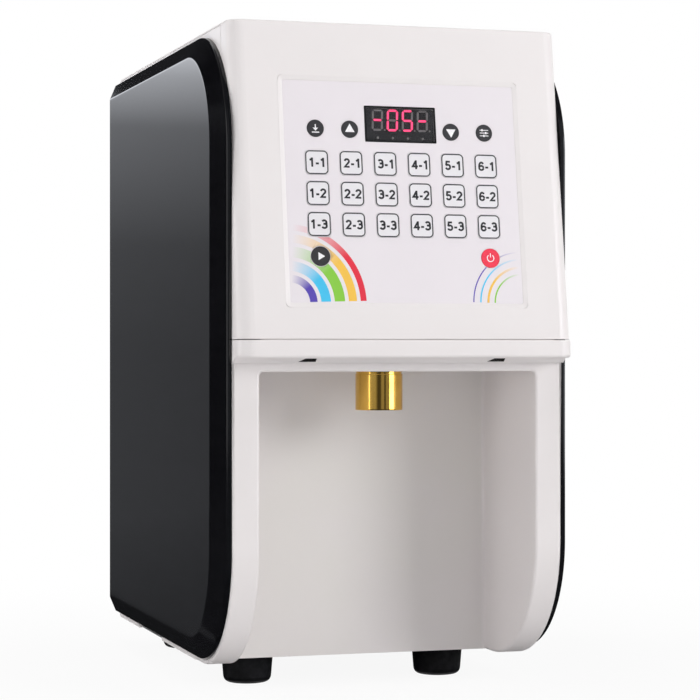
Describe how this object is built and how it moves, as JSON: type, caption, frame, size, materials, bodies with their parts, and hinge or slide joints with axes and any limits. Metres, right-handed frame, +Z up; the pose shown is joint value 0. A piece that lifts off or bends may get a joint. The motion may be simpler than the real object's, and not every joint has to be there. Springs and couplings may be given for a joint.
{
  "type": "powder dispenser",
  "caption": "Countertop electric powder dispenser with a lean-back keypad head, a display, a cup bay with an outlet nozzle, an auger drive, bevelled side panels and a hinged filling lid.",
  "frame": {"origin": "on the floor, under the middle of the box around the machine", "axes": "+Z up, +X to the right seen from the front, the front faces -Y"},
  "size_m": [0.2434, 0.3936, 0.447],
  "materials": {
    "white_shell": "white moulded plastic, satin gloss",
    "black_panel": "polished black plastic",
    "chassis": "grey sheet metal",
    "steel": "bright steel",
    "rubber": "matt black rubber",
    "brass": "polished brass",
    "film": "printed polyester film",
    "lens": "smoked red lens",
    "dark_plastic": "moulded dark plastic",
    "board": "circuit board",
    "hopper_plastic": "food-grade plastic",
    "bush_plastic": "self-lubricating plastic",
    "seal": "silicone",
    "key_white": "printed film pad",
    "key_dark": "printed dark pad",
    "key_red": "printed red pad"
  },
  "bodies": {
    "housing": {"front_frame": "white_shell", "bay_liner": "white_shell", "head_panel": "white_shell", "side_wall_left": "white_shell", "side_wall_right": "white_shell", "rear_cover": "white_shell", "outlet_collar": "white_shell", "side_panel_left": "black_panel", "side_panel_right": "black_panel", "power_inlet": "black_panel", "switch_body": "black_panel", "base_plate": "chassis", "deck_plate": "chassis", "hinge_rail": "chassis", "motor_bracket": "chassis", "power_supply": "chassis", "hinge_pins": "steel", "housing_screws": "steel", "gear_motor": "steel", "feet": "rubber", "nozzle": "brass", "keypad_overlay": "film", "display_window": "lens", "led_display": "dark_plastic", "keypad_board": "board", "control_board": "board", "hopper": "hopper_plastic", "shaft_bushes": "bush_plastic", "outlet_seal": "seal"},
    "lid": {"top_lid": "white_shell"},
    "auger": {"auger": "steel", "auger_gear": "bush_plastic"},
    "agitator": {"agitator": "steel", "agitator_gear": "bush_plastic"},
    "motor_shaft": {"drive_pinion": "steel"},
    "rocker": {"switch_rocker": "dark_plastic"},
    "key_1_1_cap": {"key_1_1": "key_white"},
    "key_1_2_cap": {"key_1_2": "key_white"},
    "key_1_3_cap": {"key_1_3": "key_white"},
    "key_2_1_cap": {"key_2_1": "key_white"},
    "key_2_2_cap": {"key_2_2": "key_white"},
    "key_2_3_cap": {"key_2_3": "key_white"},
    "key_3_1_cap": {"key_3_1": "key_white"},
    "key_3_2_cap": {"key_3_2": "key_white"},
    "key_3_3_cap": {"key_3_3": "key_white"},
    "key_4_1_cap": {"key_4_1": "key_white"},
    "key_4_2_cap": {"key_4_2": "key_white"},
    "key_4_3_cap": {"key_4_3": "key_white"},
    "key_5_1_cap": {"key_5_1": "key_white"},
    "key_5_2_cap": {"key_5_2": "key_white"},
    "key_5_3_cap": {"key_5_3": "key_white"},
    "key_6_1_cap": {"key_6_1": "key_white"},
    "key_6_2_cap": {"key_6_2": "key_white"},
    "key_6_3_cap": {"key_6_3": "key_white"},
    "save_key_cap": {"save_key": "key_dark"},
    "up_key_cap": {"up_key": "key_dark"},
    "down_key_cap": {"down_key": "key_dark"},
    "setting_key_cap": {"setting_key": "key_dark"},
    "continue_key_cap": {"continue_key": "key_dark"},
    "power_key_cap": {"power_key": "key_red"}
  },
  "joints": [
    {"name": "lid_hinge", "type": "hinge", "parent": "housing", "child": "lid", "pos_m": [0, 0.1923, 0.4375], "axis": [-1, 0, 0], "range_deg": [0, 100]},
    {"name": "auger_spin", "type": "hinge", "parent": "housing", "child": "auger", "pos_m": [0, 0, 0.262], "axis": [0, 1, 0], "continuous": true},
    {"name": "agitator_spin", "type": "hinge", "parent": "housing", "child": "agitator", "pos_m": [0, 0, 0.31], "axis": [0, 1, 0], "continuous": true},
    {"name": "motor_spin", "type": "hinge", "parent": "housing", "child": "motor_shaft", "pos_m": [0.03383, 0, 0.27431], "axis": [0, 1, 0], "continuous": true},
    {"name": "rocker_tip", "type": "hinge", "parent": "housing", "child": "rocker", "pos_m": [0.02, 0.1905, 0.0643], "axis": [-1, 0, 0], "range_deg": [0, 16]},
    {"name": "key_1_1_press", "type": "slide", "parent": "housing", "child": "key_1_1_cap", "axis": [0, 0.9891, -0.1472], "range_m": [0, 0.0004], "stiffness_N_per_m": 500},
    {"name": "key_1_2_press", "type": "slide", "parent": "housing", "child": "key_1_2_cap", "axis": [0, 0.9891, -0.1472], "range_m": [0, 0.0004], "stiffness_N_per_m": 500},
    {"name": "key_1_3_press", "type": "slide", "parent": "housing", "child": "key_1_3_cap", "axis": [0, 0.9891, -0.1472], "range_m": [0, 0.0004], "stiffness_N_per_m": 500},
    {"name": "key_2_1_press", "type": "slide", "parent": "housing", "child": "key_2_1_cap", "axis": [0, 0.9891, -0.1472], "range_m": [0, 0.0004], "stiffness_N_per_m": 500},
    {"name": "key_2_2_press", "type": "slide", "parent": "housing", "child": "key_2_2_cap", "axis": [0, 0.9891, -0.1472], "range_m": [0, 0.0004], "stiffness_N_per_m": 500},
    {"name": "key_2_3_press", "type": "slide", "parent": "housing", "child": "key_2_3_cap", "axis": [0, 0.9891, -0.1472], "range_m": [0, 0.0004], "stiffness_N_per_m": 500},
    {"name": "key_3_1_press", "type": "slide", "parent": "housing", "child": "key_3_1_cap", "axis": [0, 0.9891, -0.1472], "range_m": [0, 0.0004], "stiffness_N_per_m": 500},
    {"name": "key_3_2_press", "type": "slide", "parent": "housing", "child": "key_3_2_cap", "axis": [0, 0.9891, -0.1472], "range_m": [0, 0.0004], "stiffness_N_per_m": 500},
    {"name": "key_3_3_press", "type": "slide", "parent": "housing", "child": "key_3_3_cap", "axis": [0, 0.9891, -0.1472], "range_m": [0, 0.0004], "stiffness_N_per_m": 500},
    {"name": "key_4_1_press", "type": "slide", "parent": "housing", "child": "key_4_1_cap", "axis": [0, 0.9891, -0.1472], "range_m": [0, 0.0004], "stiffness_N_per_m": 500},
    {"name": "key_4_2_press", "type": "slide", "parent": "housing", "child": "key_4_2_cap", "axis": [0, 0.9891, -0.1472], "range_m": [0, 0.0004], "stiffness_N_per_m": 500},
    {"name": "key_4_3_press", "type": "slide", "parent": "housing", "child": "key_4_3_cap", "axis": [0, 0.9891, -0.1472], "range_m": [0, 0.0004], "stiffness_N_per_m": 500},
    {"name": "key_5_1_press", "type": "slide", "parent": "housing", "child": "key_5_1_cap", "axis": [0, 0.9891, -0.1472], "range_m": [0, 0.0004], "stiffness_N_per_m": 500},
    {"name": "key_5_2_press", "type": "slide", "parent": "housing", "child": "key_5_2_cap", "axis": [0, 0.9891, -0.1472], "range_m": [0, 0.0004], "stiffness_N_per_m": 500},
    {"name": "key_5_3_press", "type": "slide", "parent": "housing", "child": "key_5_3_cap", "axis": [0, 0.9891, -0.1472], "range_m": [0, 0.0004], "stiffness_N_per_m": 500},
    {"name": "key_6_1_press", "type": "slide", "parent": "housing", "child": "key_6_1_cap", "axis": [0, 0.9891, -0.1472], "range_m": [0, 0.0004], "stiffness_N_per_m": 500},
    {"name": "key_6_2_press", "type": "slide", "parent": "housing", "child": "key_6_2_cap", "axis": [0, 0.9891, -0.1472], "range_m": [0, 0.0004], "stiffness_N_per_m": 500},
    {"name": "key_6_3_press", "type": "slide", "parent": "housing", "child": "key_6_3_cap", "axis": [0, 0.9891, -0.1472], "range_m": [0, 0.0004], "stiffness_N_per_m": 500},
    {"name": "save_key_press", "type": "slide", "parent": "housing", "child": "save_key_cap", "axis": [0, 0.9891, -0.1472], "range_m": [0, 0.0004], "stiffness_N_per_m": 500},
    {"name": "up_key_press", "type": "slide", "parent": "housing", "child": "up_key_cap", "axis": [0, 0.9891, -0.1472], "range_m": [0, 0.0004], "stiffness_N_per_m": 500},
    {"name": "down_key_press", "type": "slide", "parent": "housing", "child": "down_key_cap", "axis": [0, 0.9891, -0.1472], "range_m": [0, 0.0004], "stiffness_N_per_m": 500},
    {"name": "setting_key_press", "type": "slide", "parent": "housing", "child": "setting_key_cap", "axis": [0, 0.9891, -0.1472], "range_m": [0, 0.0004], "stiffness_N_per_m": 500},
    {"name": "continue_key_press", "type": "slide", "parent": "housing", "child": "continue_key_cap", "axis": [0, 0.9891, -0.1472], "range_m": [0, 0.0004], "stiffness_N_per_m": 500},
    {"name": "power_key_press", "type": "slide", "parent": "housing", "child": "power_key_cap", "axis": [0, 0.9891, -0.1472], "range_m": [0, 0.0004], "stiffness_N_per_m": 500}
  ],
  "couplings": [
    {"joint": "agitator_spin", "follows": "auger_spin", "ratio": -0.88235},
    {"joint": "motor_spin", "follows": "auger_spin", "ratio": -1.6667}
  ]
}
